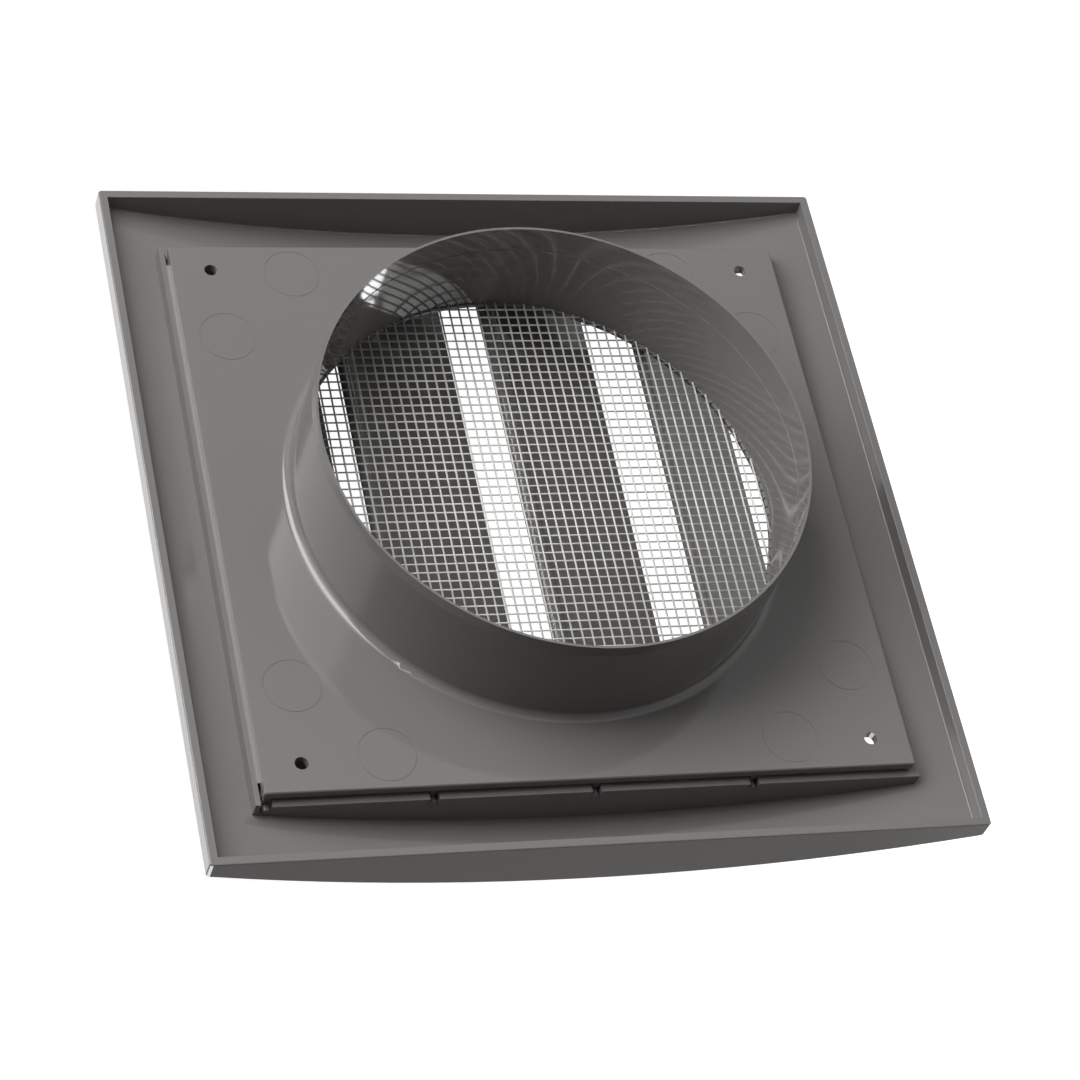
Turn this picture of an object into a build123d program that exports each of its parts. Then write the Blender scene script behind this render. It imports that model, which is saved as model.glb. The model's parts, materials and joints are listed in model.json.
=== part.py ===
import os
from math import atan2, cos, radians, sin, sqrt, tan

from build123d import *

os.makedirs("parts", exist_ok=True)

# Frame of the vent: the origin is the middle of the wall plane, +Y runs into the wall along the
# spigot, +Z is up as installed and the louvres face -Y.

# Rim and curved front wall of the frame
rim_side = 233.0
rim_wall = 2.6
rim_corner_r = 1.0
rim_inner_round = 0.2
rim_back_round = 0.4
front_r = 511.0
crown_depth = 20.2
shell = 2.0
front_edge_round = 0.8
dish_fillet = 0.4

# Box wall that rises from the dish round the louvre opening, and the open moat between it and the rim
moat_x = 16.8
moat_z = 13.7
head_wall = 1.5
side_wall = 3.2
ledge_drop = 1.3
mouth_round = 0.4

# Back plate
plate_t = 2.9
plate_overhang = 1.2
plate_head_gap = 0.75
plate_corner_r = 0.8
plate_edge = 0.3
screw_inset_x = 9.1
screw_inset_z = 11.95
screw_hole_r = 2.0
mark_step_long = 25.0
mark_step_short = 1.5
mark_r = 8.5
mark_line = 0.3
mark_depth = 0.1

# Duct spigot
spigot_r = 74.7
spigot_wall = 1.3
spigot_length = 36.5
lead_in_length = 3.5
lead_in_taper = 0.4
spigot_root_fillet = 2.5
relief_length = 10.0
relief_depth = 0.15
mesh_lip = 0.5
bore_flare = 2.3

# Insect mesh, with the open squares drawn five times coarser than the woven ones
mesh_t = 0.6
mesh_clearance = 0.1
mesh_border = 1.4
mesh_pitch = 15.0
mesh_bar = 1.4

# Hinges of the flaps
hinge_drop = 4.4
head_gap = 0.4
pin_r = 1.3
pin_clearance = 0.1
pin_end_gap = 0.1
tab_side_gap = 0.4
tab_inset = 0.2
tab_pin_gap = 0.3

# Louvre flaps; the angles are the openings at rest, top flap first
flap_angles = (17.1, 23.7, 25.7, 35.4)
flap_end_gap = 1.0
flap_t = 1.5
bead_r = 1.8
closing_gap = 0.3
reach_gap = 1.15
joggle_start = 3.2
joggle_end = 7.0
joggle_round = 0.8
tip_round = 0.6

# Seats for the plate on the head and sill walls, and the stop behind the lowest flap
seat_end_gap = 5.1
seat_bearing = 0.95
head_seat_t = 1.5
sill_seat_t = 2.5
stop_overlap = 1.0
stop_t = 1.5

# Values that follow from the ones above
rim_half = rim_side / 2
dish_half = rim_half - rim_wall
dish_r = front_r - shell
wall_mid_r = front_r - shell / 2
box_outer_x = dish_half - moat_x
box_outer_z = dish_half - moat_z
box_half_x = box_outer_x - side_wall
box_half_z = box_outer_z - head_wall
ledge_y = -plate_t - ledge_drop
plate_half_x = box_half_x + plate_overhang
plate_half_z = box_half_z - plate_head_gap
screw_x = plate_half_x - screw_inset_x
screw_z = plate_half_z - screw_inset_z
spigot_bore_r = spigot_r - spigot_wall
relief_r = spigot_bore_r + relief_depth
mesh_r = spigot_bore_r - mesh_clearance
mesh_bars_each_side = int((mesh_r - mesh_border) // mesh_pitch)
pivot_y = -plate_t - hinge_drop
flap_pitch = (box_half_z - head_gap - bead_r) / 2
pivots = [flap_pitch * (2 - k) for k in range(len(flap_angles))]
flap_reach = flap_pitch - reach_gap
flap_half = box_half_x - flap_end_gap
panel_v = bead_r + closing_gap
neck_v = flap_t / 2
joggle_shift = flap_t * tan(atan2(panel_v + neck_v, joggle_end - joggle_start) / 2)
notch_r = pin_r + pin_clearance
pin_end = box_outer_x - pin_end_gap
tab_end = pivot_y + pin_r + tab_pin_gap
tab_depth = -plate_t / 2 - tab_end
tab_width = 2 * (notch_r - tab_side_gap)
tab_t = plate_overhang - 2 * tab_inset
seat_depth = plate_head_gap + seat_bearing
stop_y = pivot_y - panel_v + closing_gap
stop_height = box_half_z + pivots[-1] - flap_reach + stop_overlap


def front_y(radius, z):
    """Depth of the cylinder of this radius about the axis of the curved front, at height z."""
    return front_r - crown_depth - sqrt(radius**2 - z**2)


def curved_outline(radius, half_z, back_y):
    """Outline in Y and Z between a flat back and a front curved to this radius."""
    edge_y = front_y(radius, half_z)
    with BuildLine() as outline:
        Polyline((edge_y, -half_z), (back_y, -half_z), (back_y, half_z), (edge_y, half_z))
        ThreePointArc((edge_y, half_z), (front_y(radius, 0), 0), (edge_y, -half_z))
    return outline.line


with BuildPart() as front_frame:
    with BuildSketch(Plane.YZ):
        add(curved_outline(front_r, rim_half, 0))
        make_face()
    extrude(amount=rim_half, both=True)
    fillet(front_frame.edges().filter_by(Axis.Y), rim_corner_r)
    fillet(front_frame.faces().sort_by(Axis.Y)[0].edges(), front_edge_round)
    with BuildSketch(Plane.YZ):
        add(curved_outline(dish_r, dish_half, 0))
        make_face()
    extrude(amount=dish_half, both=True, mode=Mode.SUBTRACT)
    dish = front_frame.faces().filter_by(GeomType.CYLINDER).sort_by(SortBy.AREA)[-2]
    fillet(dish.edges(), dish_fillet)
    fillet(front_frame.faces().sort_by(Axis.Y)[-1].inner_wires()[0].edges(), rim_inner_round)
    fillet(front_frame.faces().sort_by(Axis.Y)[-1].outer_wire().edges(), rim_back_round)
    with BuildSketch(Plane.YZ):
        add(curved_outline(wall_mid_r, box_outer_z, -plate_t))
        make_face()
    extrude(amount=box_outer_x, both=True)
    with BuildSketch(Plane.XZ):
        Rectangle(2 * box_half_x, 2 * box_half_z)
    extrude(amount=crown_depth, mode=Mode.SUBTRACT)
    fillet(front_frame.faces().sort_by(Axis.Y)[0].inner_wires()[0].edges(), mouth_round)
    with BuildSketch(Plane.XZ):
        with Locations((0, box_half_z)):
            Rectangle(2 * box_outer_x, box_half_z + box_outer_z, align=(Align.CENTER, Align.MAX))
    extrude(amount=-ledge_y, mode=Mode.SUBTRACT)
    with BuildSketch(Plane.YZ):
        with Locations([(pivot_y, z) for z in pivots]):
            Circle(notch_r)
        with Locations([(pivot_y / 2, z) for z in pivots]):
            Rectangle(-pivot_y, 2 * notch_r)
        with Locations((pivot_y, pivots[0])):
            Rectangle(-pivot_y, box_half_z - pivots[0], align=Align.MIN)
    extrude(amount=box_outer_x, both=True, mode=Mode.SUBTRACT)
    with BuildSketch(Plane.YZ):
        with Locations((-plate_t, box_half_z)):
            Rectangle(head_seat_t, seat_depth, align=(Align.MAX, Align.MAX))
        with Locations((-plate_t, -box_half_z)):
            Rectangle(sill_seat_t, seat_depth, align=(Align.MAX, Align.MIN))
    extrude(amount=plate_half_x - seat_end_gap, both=True)
    with BuildSketch(Plane.YZ):
        with Locations((stop_y, -box_half_z)):
            Rectangle(stop_t, stop_height, align=(Align.MIN, Align.MIN))
    extrude(amount=box_half_x, both=True)
front_frame.part.label = "front_frame"
export_step(front_frame.part, "parts/front_frame.step")

with BuildPart() as back_plate:
    with BuildSketch(Plane.XZ):
        Rectangle(2 * plate_half_x, 2 * plate_half_z)
    extrude(amount=plate_t)
    fillet(back_plate.edges().filter_by(Axis.Y), plate_corner_r)
    chamfer(back_plate.faces().sort_by(Axis.Y)[-1].edges(), plate_edge)
    with BuildSketch(Plane.XY):
        with BuildLine():
            Polyline(
                (spigot_bore_r, -plate_t / 2),
                (spigot_r, -plate_t / 2),
                (spigot_r, spigot_length - lead_in_length),
                (spigot_r - lead_in_taper, spigot_length),
                (relief_r, spigot_length),
                (relief_r, spigot_length - relief_length),
                (spigot_bore_r, spigot_length - relief_length),
                close=True,
            )
        make_face()
    revolve(axis=Axis.Y)
    root = back_plate.edges().filter_by(GeomType.CIRCLE).filter_by_position(Axis.Y, 0, 0)
    fillet(root.sort_by(SortBy.RADIUS)[-1], spigot_root_fillet)
    with BuildSketch(Plane.XZ):
        Circle(spigot_bore_r - mesh_lip)
        with GridLocations(2 * screw_x, 2 * screw_z, 2, 2):
            Circle(screw_hole_r)
    extrude(amount=plate_t, mode=Mode.SUBTRACT)
    mouth = back_plate.edges().filter_by(GeomType.CIRCLE).filter_by_position(Axis.Y, -plate_t, -plate_t)
    fillet(mouth.sort_by(SortBy.RADIUS)[-1], bore_flare)
    with BuildSketch(Plane.XZ):
        for step_x, step_z in ((mark_step_long, mark_step_short), (mark_step_short, mark_step_long)):
            with GridLocations(2 * (screw_x - step_x), 2 * (screw_z - step_z), 2, 2):
                Circle(mark_r + mark_line / 2)
                Circle(mark_r - mark_line / 2, mode=Mode.SUBTRACT)
    extrude(amount=mark_depth, mode=Mode.SUBTRACT)
    for side in (-1, 1):
        with BuildSketch(Plane.YZ.offset(side * (box_half_x + tab_inset))):
            with Locations([(-plate_t / 2, z) for z in pivots]):
                Rectangle(tab_depth, tab_width, align=(Align.MAX, Align.CENTER))
        extrude(amount=side * tab_t)
back_plate.part.label = "back_plate"
export_step(back_plate.part, "parts/back_plate.step")

with BuildPart() as insect_mesh:
    with BuildSketch(Plane.XZ):
        Circle(mesh_r)
        Circle(mesh_r - mesh_border, mode=Mode.SUBTRACT)
        for k in range(-mesh_bars_each_side, mesh_bars_each_side + 1):
            chord = 2 * sqrt((mesh_r - mesh_border / 2) ** 2 - (k * mesh_pitch) ** 2)
            with Locations((k * mesh_pitch, 0)):
                Rectangle(mesh_bar, chord)
            with Locations((0, k * mesh_pitch)):
                Rectangle(chord, mesh_bar)
    extrude(amount=-mesh_t)
insect_mesh.part.label = "insect_mesh"
export_step(insect_mesh.part, "parts/insect_mesh.step")

for number, (z, angle) in enumerate(zip(pivots, flap_angles), start=1):
    swing = radians(angle)
    flap_plane = Plane((0, pivot_y, z), x_dir=(0, -sin(swing), -cos(swing)), z_dir=(-1, 0, 0))
    with BuildPart() as flap:
        with BuildSketch(flap_plane) as section:
            with BuildLine():
                Polyline(
                    (0, -neck_v),
                    (joggle_start, -neck_v),
                    (joggle_end, panel_v),
                    (flap_reach, panel_v),
                    (flap_reach, panel_v + flap_t),
                    (joggle_end - joggle_shift, panel_v + flap_t),
                    (joggle_start - joggle_shift, neck_v),
                    (0, neck_v),
                    close=True,
                )
            make_face()
            bends = section.vertices().filter_by_position(Axis.X, joggle_start - joggle_shift, joggle_end)
            fillet(bends, joggle_round)
            fillet(section.vertices().group_by(Axis.X)[-1], tip_round)
            Circle(bead_r)
        extrude(amount=flap_half, both=True)
        with BuildSketch(flap_plane):
            Circle(pin_r)
        extrude(amount=pin_end, both=True)
    flap.part.label = f"flap_{number}"
    export_step(flap.part, f"parts/flap_{number}.step")
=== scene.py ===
"""Looks of the louvred wall vent: its finishes, the fine insect net, the studio and the camera.

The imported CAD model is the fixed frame. Its origin is the middle of the wall plane, +Y runs into the
wall along the spigot, +Z is up as installed and the louvres face -Y.
"""

import json
import logging
import math
from dataclasses import dataclass, field
from enum import Enum
from typing import Any

import bmesh
import bpy
from mathutils import Matrix, Vector

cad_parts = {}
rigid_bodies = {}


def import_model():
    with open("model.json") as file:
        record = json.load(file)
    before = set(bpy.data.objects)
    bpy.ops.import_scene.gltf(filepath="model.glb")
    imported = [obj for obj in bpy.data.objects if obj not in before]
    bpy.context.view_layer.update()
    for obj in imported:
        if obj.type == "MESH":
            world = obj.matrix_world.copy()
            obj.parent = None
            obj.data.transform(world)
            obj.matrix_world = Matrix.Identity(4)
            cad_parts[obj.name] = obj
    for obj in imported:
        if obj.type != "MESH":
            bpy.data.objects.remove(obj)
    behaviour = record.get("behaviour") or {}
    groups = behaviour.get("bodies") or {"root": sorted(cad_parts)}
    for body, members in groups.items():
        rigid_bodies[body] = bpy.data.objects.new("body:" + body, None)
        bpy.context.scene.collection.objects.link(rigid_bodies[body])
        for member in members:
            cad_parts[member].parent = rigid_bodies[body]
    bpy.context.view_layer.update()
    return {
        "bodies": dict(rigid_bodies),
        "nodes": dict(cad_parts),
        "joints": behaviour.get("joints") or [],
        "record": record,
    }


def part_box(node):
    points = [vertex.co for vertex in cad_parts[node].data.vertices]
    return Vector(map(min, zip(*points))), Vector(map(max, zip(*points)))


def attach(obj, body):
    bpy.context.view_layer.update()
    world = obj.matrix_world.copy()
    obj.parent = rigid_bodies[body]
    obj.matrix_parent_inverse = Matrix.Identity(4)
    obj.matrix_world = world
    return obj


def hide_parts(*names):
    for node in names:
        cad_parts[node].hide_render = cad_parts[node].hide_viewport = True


LOG = logging.getLogger("vent")
MM = 0.001
WHITE = "#ffffff"

# The sRGB curve: a straight foot below the knee, a power above it.
SRGB_KNEE = 0.04045
SRGB_FOOT = 12.92
SRGB_SHIFT = 0.055
SRGB_POWER = 2.4

# Socket numbers of the Mix node's two colours and of its mixed colour.
MIX_FIRST = 6
MIX_SECOND = 7
MIX_RESULT = 2

# Parametric coordinates run from 0 to 1 across a lamp.
LAMP_MIDDLE = 0.5


class Wire(Enum):
    """The two ways that the strands of the net run."""

    ACROSS = "along X, the thick strands"
    UPRIGHT = "along Z, the thin strands"


def linear(hex_colour: str) -> tuple[float, float, float, float]:
    """Turns an sRGB hex colour into a linear colour with full alpha.

    Args:
        hex_colour: Colour such as "#807f7d".

    Returns:
        Red, green, blue and alpha for a colour socket.
    """
    channels = [int(hex_colour[k : k + 2], 16) / 255 for k in (1, 3, 5)]
    red, green, blue = (
        c / SRGB_FOOT if c <= SRGB_KNEE else ((c + SRGB_SHIFT) / (1 + SRGB_SHIFT)) ** SRGB_POWER
        for c in channels
    )
    return (red, green, blue, 1.0)


def add_node(
    tree: bpy.types.NodeTree, kind: str, inputs: dict[str | int, Any], **settings: Any
) -> bpy.types.Node:
    """Adds a shader node with its settings, its socket values and its links.

    Args:
        tree: Node tree that gets the node.
        kind: Blender's name of the node type.
        inputs: Socket name or number against a value, or against the output socket that feeds it.
        settings: Properties of the node itself.

    Returns:
        The new node.
    """
    node = tree.nodes.new(kind)
    for name, value in settings.items():
        setattr(node, name, value)
    for socket, value in inputs.items():
        if isinstance(value, bpy.types.NodeSocket):
            tree.links.new(value, node.inputs[socket])
        else:
            node.inputs[socket].default_value = value
    return node


def new_material(name: str) -> tuple[bpy.types.Material, bpy.types.NodeTree]:
    """Makes an empty node material.

    Args:
        name: Name of the material.

    Returns:
        The material and its cleared node tree.
    """
    material = bpy.data.materials.new(name)
    material.use_nodes = True
    material.node_tree.nodes.clear()
    return material, material.node_tree


def dress(piece: bpy.types.Object, material: bpy.types.Material) -> None:
    """Gives a piece one material in place of those it has."""
    piece.data.materials.clear()
    piece.data.materials.append(material)


@dataclass(frozen=True)
class MouldedAbs:
    """ABS, injection moulded in a polished tool.

    It gives the eye a mirror-like gloss over a warm mid grey, a faint waviness in the reflections and
    very weak clouds where the melt flowed.
    """

    name: str = "grey_abs_polished_moulding"
    colour: str = "#706e6c"
    cloud_colour: str = "#737170"
    roughness: float = 0.07
    roughness_swing: float = 0.02
    ior: float = 1.53
    cloud_mm: float = 45.0
    haze_mm: float = 9.0
    peel_mm: float = 2.2
    peel_depth_mm: float = 0.0012
    cloud_detail: float = 3.0
    haze_detail: float = 4.0
    peel_detail: float = 2.0
    haze_span: tuple[float, float] = (0.3, 0.7)

    def material(self) -> bpy.types.Material:
        """Builds the material.

        Returns:
            The glossy grey plastic.
        """
        material, tree = new_material(self.name)
        place = add_node(tree, "ShaderNodeTexCoord", {}).outputs["Object"]
        clouds, haze, peel = (
            add_node(
                tree, "ShaderNodeTexNoise", {"Vector": place, "Scale": 1 / (size * MM), "Detail": detail}
            ).outputs["Fac"]
            for size, detail in (
                (self.cloud_mm, self.cloud_detail),
                (self.haze_mm, self.haze_detail),
                (self.peel_mm, self.peel_detail),
            )
        )
        tint = add_node(
            tree,
            "ShaderNodeMix",
            {"Factor": clouds, MIX_FIRST: linear(self.colour), MIX_SECOND: linear(self.cloud_colour)},
            data_type="RGBA",
        )
        gloss = add_node(
            tree,
            "ShaderNodeMapRange",
            {
                "Value": haze,
                "From Min": self.haze_span[0],
                "From Max": self.haze_span[1],
                "To Min": self.roughness - self.roughness_swing / 2,
                "To Max": self.roughness + self.roughness_swing / 2,
            },
        )
        waves = add_node(
            tree,
            "ShaderNodeBump",
            {"Height": peel, "Strength": 1.0, "Distance": self.peel_depth_mm * MM},
        )
        plastic = add_node(
            tree,
            "ShaderNodeBsdfPrincipled",
            {
                "Base Color": tint.outputs[MIX_RESULT],
                "Roughness": gloss.outputs["Result"],
                "IOR": self.ior,
                "Normal": waves.outputs["Normal"],
            },
        )
        add_node(tree, "ShaderNodeOutputMaterial", {"Surface": plastic.outputs["BSDF"]})
        return material


@dataclass(frozen=True)
class StretchedNet:
    """Polypropylene net, extruded and stretched, in silver grey.

    It gives the eye a soft sheen on pale strands, a little darker in random streaks.
    """

    name: str = "silver_grey_polypropylene_net"
    colour: str = "#d0cfcc"
    worn_colour: str = "#bcbbb8"
    roughness: float = 0.28
    ior: float = 1.49
    streak_mm: float = 5.0
    streak_detail: float = 3.0

    def material(self) -> bpy.types.Material:
        """Builds the material.

        Returns:
            The pale net plastic.
        """
        material, tree = new_material(self.name)
        place = add_node(tree, "ShaderNodeTexCoord", {}).outputs["Object"]
        streaks = add_node(
            tree,
            "ShaderNodeTexNoise",
            {"Vector": place, "Scale": 1 / (self.streak_mm * MM), "Detail": self.streak_detail},
        )
        tint = add_node(
            tree,
            "ShaderNodeMix",
            {
                "Factor": streaks.outputs["Fac"],
                MIX_FIRST: linear(self.colour),
                MIX_SECOND: linear(self.worn_colour),
            },
            data_type="RGBA",
        )
        plastic = add_node(
            tree,
            "ShaderNodeBsdfPrincipled",
            {
                "Base Color": tint.outputs[MIX_RESULT],
                "Roughness": self.roughness,
                "IOR": self.ior,
            },
        )
        add_node(tree, "ShaderNodeOutputMaterial", {"Surface": plastic.outputs["BSDF"]})
        return material


@dataclass
class InsectNet:
    """The fine net in the root of the spigot, which stands for the coarse CAD wall there."""

    node: str = "insect_mesh"
    body: str = "vent_body"
    name: str = "insect_net"
    pitch_mm: dict[Wire, float] = field(default_factory=lambda: {Wire.ACROSS: 3.06, Wire.UPRIGHT: 2.98})
    offset_mm: dict[Wire, float] = field(default_factory=lambda: {Wire.ACROSS: 1.4, Wire.UPRIGHT: 0.9})
    radius_mm: dict[Wire, float] = field(default_factory=lambda: {Wire.ACROSS: 0.31, Wire.UPRIGHT: 0.26})
    finishes: dict[Wire, StretchedNet] = field(
        default_factory=lambda: {
            Wire.ACROSS: StretchedNet(),
            # Painted light: the upright strands get a lighter copy of the same net plastic, so the thin
            # strands read as bright as the thick ones under the lamps.
            Wire.UPRIGHT: StretchedNet("upright_net_painted_lighter", "#d8d7d4", "#c6c5c2", 0.30),
        }
    )
    knot_mm: float = 0.41
    knot_flatness: float = 0.8
    knot_subdivisions: int = 1
    sides: int = 8

    def stations(self, run: Wire, reach: float) -> list[float]:
        """Lists where the strands of one way cross the net, in metres from its middle.

        Args:
            run: Which way the strands run.
            reach: Radius of the net.

        Returns:
            Offsets from the middle that lie inside the net.
        """
        pitch = self.pitch_mm[run] * MM
        start = self.offset_mm[run] * MM
        count = int(reach / pitch) + 1
        places = [start + k * pitch for k in range(-count, count + 1)]
        margin = self.radius_mm[run] * MM
        return [p for p in places if abs(p) < reach - margin]

    def build(self) -> bpy.types.Object:
        """Models the strands and the knots where they fuse.

        Returns:
            The net, riding on the vent and standing for its CAD node.
        """
        low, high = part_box(self.node)
        reach = (high.x - low.x) / 2
        data = bpy.data.meshes.new(self.name)
        net = bmesh.new()
        for number, run in enumerate(Wire):
            for station in self.stations(run, reach):
                row = bmesh.new()
                self.strand(row, run, station, 2 * math.sqrt(reach**2 - station**2), low.y)
                if run is Wire.ACROSS:
                    self.knots(row, station, reach, low.y)
                for face in row.faces:
                    face.material_index = number
                row.to_mesh(data)
                row.free()
                net.from_mesh(data)
        net.to_mesh(data)
        net.free()
        data.shade_smooth()
        piece = bpy.data.objects.new(self.name, data)
        bpy.context.scene.collection.objects.link(piece)
        for run in Wire:
            data.materials.append(self.finishes[run].material())
        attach(piece, self.body)
        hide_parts(self.node)
        return piece

    def strand(
        self, row: bmesh.types.BMesh, run: Wire, station: float, length: float, lip_y: float
    ) -> None:
        """Adds one straight strand.

        Args:
            row: Mesh that gets the strand.
            run: Which way the strand runs.
            station: Distance of the strand from the middle of the net.
            length: Length of the strand from wall to wall.
            lip_y: Y of the lip that carries the net.
        """
        thickness = self.radius_mm[run] * MM
        if run is Wire.ACROSS:
            turn = Matrix.Rotation(math.pi / 2, 4, "Y")
            place = Matrix.Translation((0, lip_y + thickness, station))
        else:
            turn = Matrix.Identity(4)
            place = Matrix.Translation((station, lip_y + thickness, 0))
        bmesh.ops.create_cone(
            row,
            cap_ends=True,
            segments=self.sides,
            radius1=thickness,
            radius2=thickness,
            depth=length,
            matrix=place @ turn,
        )

    def knots(self, row: bmesh.types.BMesh, z: float, reach: float, lip_y: float) -> None:
        """Adds a flattened knot at each crossing on one strand.

        Args:
            row: Mesh that gets the knots.
            z: Height of the strand.
            reach: Radius of the net.
            lip_y: Y of the lip that carries the net.
        """
        size = self.knot_mm * MM
        shape = Matrix.Diagonal((1, self.knot_flatness, 1, 1))
        for x in self.stations(Wire.UPRIGHT, reach):
            if math.hypot(x, z) < reach - size:
                place = Matrix.Translation((x, lip_y + size * self.knot_flatness, z))
                bmesh.ops.create_icosphere(
                    row, subdivisions=self.knot_subdivisions, radius=size, matrix=place @ shape
                )


@dataclass
class Mouldings:
    """The moulded frame, back plate and flaps, which keep their CAD shapes."""

    nodes: tuple[str, ...] = ("front_frame", "back_plate", "flap_1", "flap_2", "flap_3", "flap_4")

    def dress(self, frame: dict[str, Any], finish: MouldedAbs) -> list[str]:
        """Gives each moulding its finish.

        Args:
            frame: The loaded frame.
            finish: Finish of the grey plastic.

        Returns:
            Names of the dressed nodes.
        """
        material = finish.material()
        for name in self.nodes:
            dress(frame["nodes"][name], material)
        return list(self.nodes)


@dataclass(frozen=True)
class Softbox:
    """One square studio lamp, whose light fades over a share of its side at each edge."""

    name: str
    place: tuple[float, float, float]
    size: float
    watts: float
    fade: float = 0.15

    def build(self) -> bpy.types.Object:
        """Hangs the lamp and points it at the middle of the vent.

        Returns:
            The lamp.
        """
        light = bpy.data.lights.new(self.name, "AREA")
        light.shape = "SQUARE"
        light.size = self.size
        light.energy = self.watts
        light.use_nodes = True
        self.soften(light.node_tree)
        lamp = bpy.data.objects.new(self.name, light)
        bpy.context.scene.collection.objects.link(lamp)
        aim = -Vector(self.place)
        turn = aim.to_track_quat("-Z", "Y").to_matrix().to_4x4()
        lamp.matrix_world = Matrix.Translation(self.place) @ turn
        return lamp

    def soften(self, tree: bpy.types.NodeTree) -> None:
        """Makes the cloth of the lamp darker near its four edges.

        Args:
            tree: Node tree of the lamp.
        """
        tree.nodes.clear()
        cloth = add_node(tree, "ShaderNodeNewGeometry", {})
        spot = add_node(
            tree,
            "ShaderNodeVectorMath",
            {0: cloth.outputs["Parametric"], 1: (LAMP_MIDDLE, LAMP_MIDDLE, 0.0)},
            operation="SUBTRACT",
        )
        off = add_node(tree, "ShaderNodeVectorMath", {0: spot.outputs["Vector"]}, operation="ABSOLUTE")
        sides = add_node(tree, "ShaderNodeSeparateXYZ", {"Vector": off.outputs["Vector"]})
        edge = add_node(
            tree, "ShaderNodeMath", {0: sides.outputs["X"], 1: sides.outputs["Y"]}, operation="MAXIMUM"
        )
        level = add_node(
            tree,
            "ShaderNodeMapRange",
            {
                "Value": edge.outputs[0],
                "From Min": LAMP_MIDDLE,
                "From Max": LAMP_MIDDLE - self.fade,
            },
            interpolation_type="SMOOTHSTEP",
        )
        glow = add_node(tree, "ShaderNodeEmission", {"Strength": level.outputs["Result"]})
        add_node(tree, "ShaderNodeOutputLight", {"Surface": glow.outputs[0]})


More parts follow.
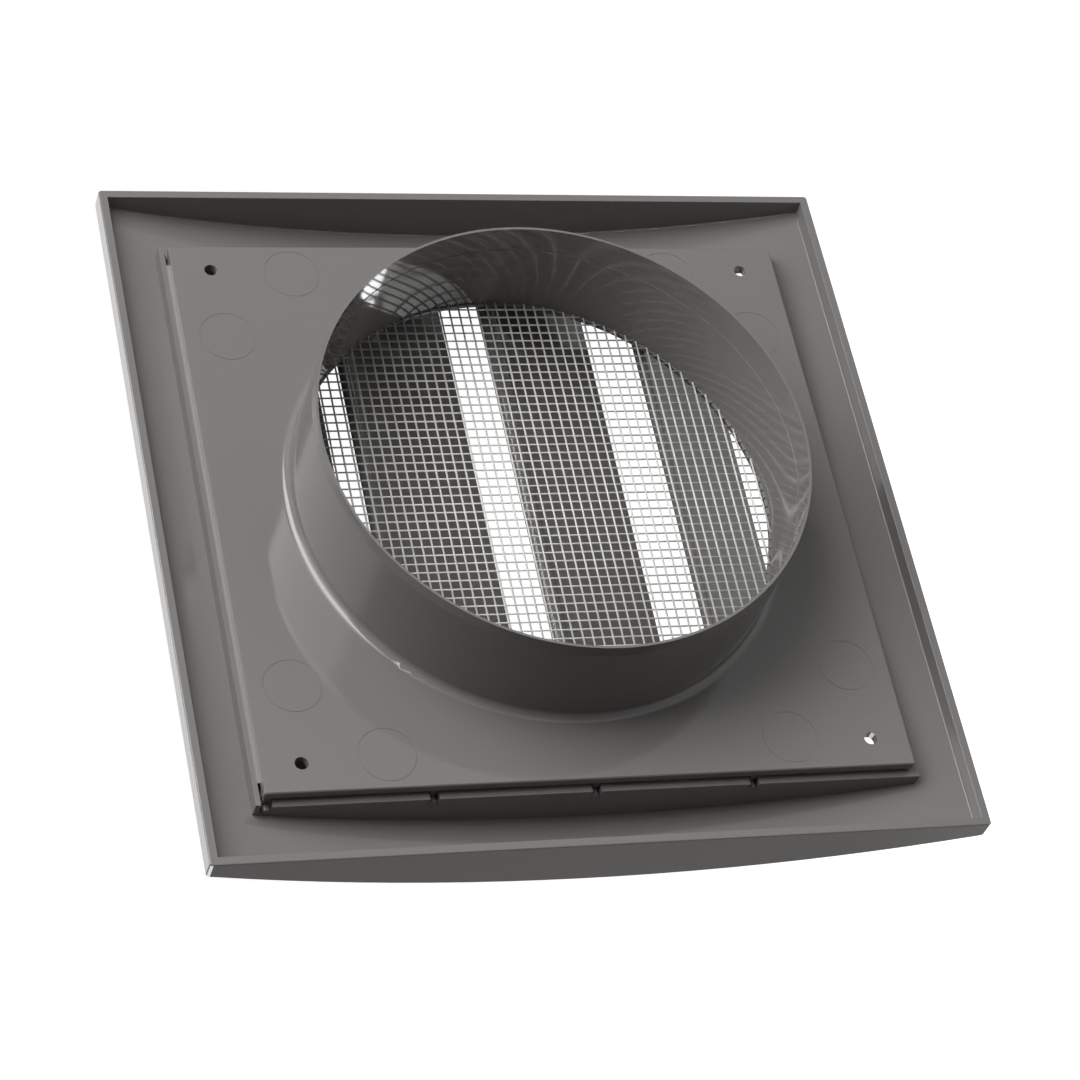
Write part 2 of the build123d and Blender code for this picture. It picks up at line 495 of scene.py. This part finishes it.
@dataclass
class Studio:
    """Pale floor, white surroundings and soft lamps.

    The white is full for the camera and dim in reflections, as in a studio that is dark beyond its lamps.
    """

    floor_drop: float = 0.80
    floor_size: float = 12.0
    floor_colour: str = "#bdbdbc"
    floor_lift: float = 0.98
    seen: float = 1.0
    mirrored: float = 0.25
    ambient: float = 0.01
    lamps: tuple[Softbox, ...] = (
        Softbox("key", (-0.44, 1.10, 0.80), 1.29, 39.5),
        Softbox("side", (-0.10, 0.60, 1.38), 1.05, 8.2),
        Softbox("fill", (-0.20, 1.48, -0.20), 1.40, 2.2),
        Softbox("low_side", (-0.65, -1.00, 0.62), 0.94, 3.4),
        Softbox("low_corner", (-0.26, -0.84, -0.66), 0.21, 0.48),
        Softbox("front", (0.60, -1.30, 0.35), 1.17, 28.0),
    )

    def by_ray(
        self, tree: bpy.types.NodeTree, seen: float, mirrored: float, otherwise: float
    ) -> bpy.types.NodeSocket:
        """Gives a strength that depends on the kind of ray.

        Args:
            tree: Node tree that gets the nodes.
            seen: Strength for the camera.
            mirrored: Strength in reflections and through clear pieces.
            otherwise: Strength for the light that falls on the vent.

        Returns:
            The socket that carries the strength.
        """
        rays = add_node(tree, "ShaderNodeLightPath", {})
        clear = add_node(
            tree,
            "ShaderNodeMath",
            {0: rays.outputs["Is Glossy Ray"], 1: rays.outputs["Is Transmission Ray"]},
            operation="MAXIMUM",
        )
        soft = add_node(
            tree,
            "ShaderNodeMix",
            {"Factor": clear.outputs[0], "A": otherwise, "B": mirrored},
            data_type="FLOAT",
        )
        level = add_node(
            tree,
            "ShaderNodeMix",
            {"Factor": rays.outputs["Is Camera Ray"], "A": soft.outputs["Result"], "B": seen},
            data_type="FLOAT",
        )
        return level.outputs["Result"]

    def floor(self) -> bpy.types.Object:
        """Lays the floor below the vent, which hangs as on a wall.

        Returns:
            The floor.
        """
        mesh = bmesh.new()
        place = Matrix.Translation((0, 0, -self.floor_drop))
        bmesh.ops.create_grid(
            mesh, x_segments=1, y_segments=1, size=self.floor_size / 2, matrix=place
        )
        data = bpy.data.meshes.new("floor")
        mesh.to_mesh(data)
        mesh.free()
        piece = bpy.data.objects.new("floor", data)
        bpy.context.scene.collection.objects.link(piece)
        material, tree = new_material("pale_studio_floor")
        paint = add_node(tree, "ShaderNodeBsdfDiffuse", {"Color": linear(self.floor_colour)})
        lift = self.by_ray(tree, self.floor_lift * self.seen, self.floor_lift * self.mirrored, 0.0)
        white = add_node(tree, "ShaderNodeEmission", {"Color": linear(WHITE), "Strength": lift})
        both = add_node(tree, "ShaderNodeAddShader", {0: paint.outputs[0], 1: white.outputs[0]})
        add_node(tree, "ShaderNodeOutputMaterial", {"Surface": both.outputs[0]})
        dress(piece, material)
        return piece

    def world(self) -> None:
        """Sets white surroundings for what the camera sees, and soft light for the rest."""
        world = bpy.data.worlds.new("white_studio")
        world.use_nodes = True
        tree = world.node_tree
        tree.nodes.clear()
        level = self.by_ray(tree, self.seen, self.mirrored, self.ambient)
        white = add_node(tree, "ShaderNodeBackground", {"Color": linear(WHITE), "Strength": level})
        add_node(tree, "ShaderNodeOutputWorld", {"Surface": white.outputs[0]})
        bpy.context.scene.world = world

    def build(self) -> None:
        """Builds the floor, the surroundings and the lamps."""
        self.floor()
        self.world()
        for lamp in self.lamps:
            lamp.build()


@dataclass(frozen=True)
class PhotoCamera:
    """The camera that stands where the photograph was taken, solved from the rim, plate and spigot."""

    place: tuple[float, float, float] = (0.55720, 0.83630, 0.33770)
    forward: tuple[float, float, float] = (-0.51611, -0.79470, -0.31951)
    up: tuple[float, float, float] = (-0.83426, 0.55090, -0.02262)
    lens_mm: float = 118.77
    sensor_mm: float = 36.0
    nearest: float = 0.05

    def build(self) -> bpy.types.Object:
        """Places the camera and makes it the scene's own.

        Returns:
            The camera.
        """
        data = bpy.data.cameras.new("photo_camera")
        data.sensor_fit = "HORIZONTAL"
        data.sensor_width = self.sensor_mm
        data.lens = self.lens_mm
        data.clip_start = self.nearest
        camera = bpy.data.objects.new("photo_camera", data)
        bpy.context.scene.collection.objects.link(camera)
        back = -Vector(self.forward).normalized()
        right = Vector(self.up).cross(back).normalized()
        axes = Matrix((right, back.cross(right), back)).transposed()
        camera.matrix_world = Matrix.Translation(self.place) @ axes.to_4x4()
        bpy.context.scene.camera = camera
        return camera


def clear_scene() -> None:
    """Removes what a new Blender file brings along."""
    for thing in list(bpy.data.objects):
        bpy.data.objects.remove(thing)


def main() -> None:
    """Builds the vent's looks in order."""
    logging.basicConfig(level=logging.INFO, format="%(name)s: %(message)s")
    clear_scene()
    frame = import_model()
    bpy.context.scene.view_settings.view_transform = "Standard"
    for name in Mouldings().dress(frame, MouldedAbs()):
        LOG.info("dressed %s", name)
    net = InsectNet().build()
    LOG.info("built %s with %d faces", net.name, len(net.data.polygons))
    Studio().build()
    PhotoCamera().build()


if __name__ == "__main__":
    main()
